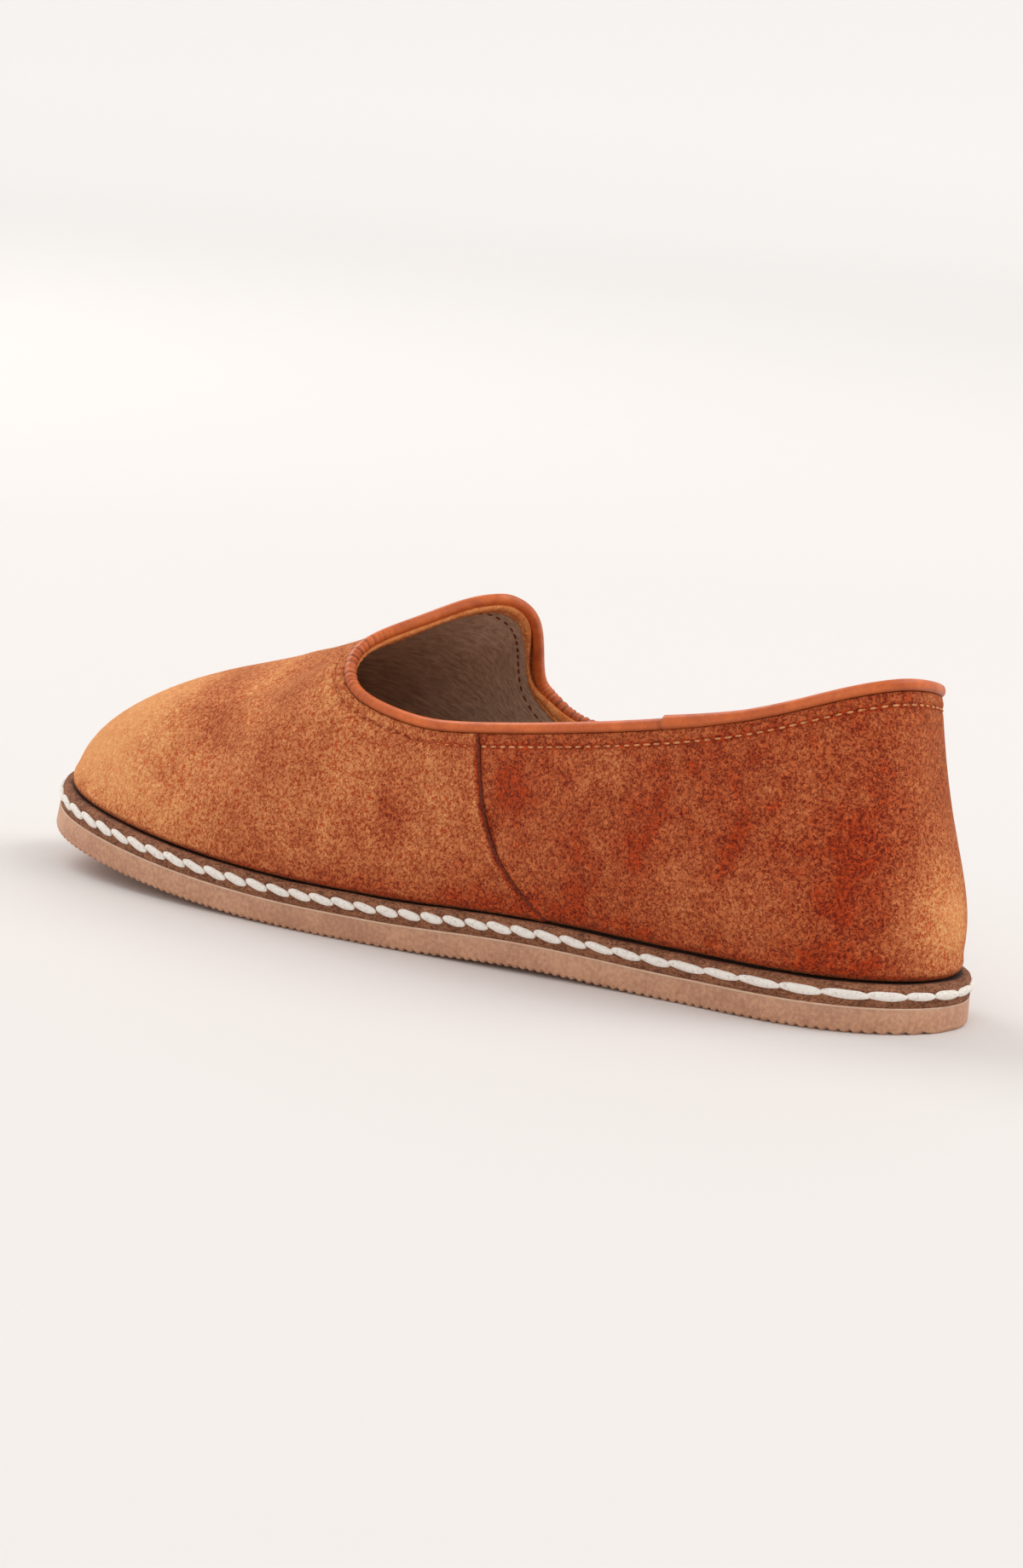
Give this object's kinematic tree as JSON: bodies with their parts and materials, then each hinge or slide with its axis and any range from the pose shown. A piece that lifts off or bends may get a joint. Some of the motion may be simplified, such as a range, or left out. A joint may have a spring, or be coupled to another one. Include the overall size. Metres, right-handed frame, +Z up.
{
  "type": "slip-on shoe",
  "caption": "Low slip-on shoe for the left foot: suede upper with a raised tongue tab and a leather-bound topline, on a stitched leather midsole and a flat rubber outsole.",
  "frame": {"origin": "on the floor, under the middle of the sole's bounding box", "axes": "+Z up, the toe towards -X, the wearer's outer side towards -Y"},
  "size_m": [0.2872, 0.094, 0.0902],
  "materials": {
    "tan_rubber": "matt, slightly translucent",
    "brown_board_leather": "fibrous cut edge",
    "taupe_lining_leather": "soft, finely wrinkled",
    "cognac_suede": "napped suede",
    "cognac_smooth_leather": "smooth, half gloss"
  },
  "bodies": {
    "root": {"outsole": "tan_rubber", "welt_midsole": "brown_board_leather", "insole": "taupe_lining_leather", "upper": "cognac_suede", "topline_binding": "cognac_smooth_leather"}
  },
  "joints": []
}
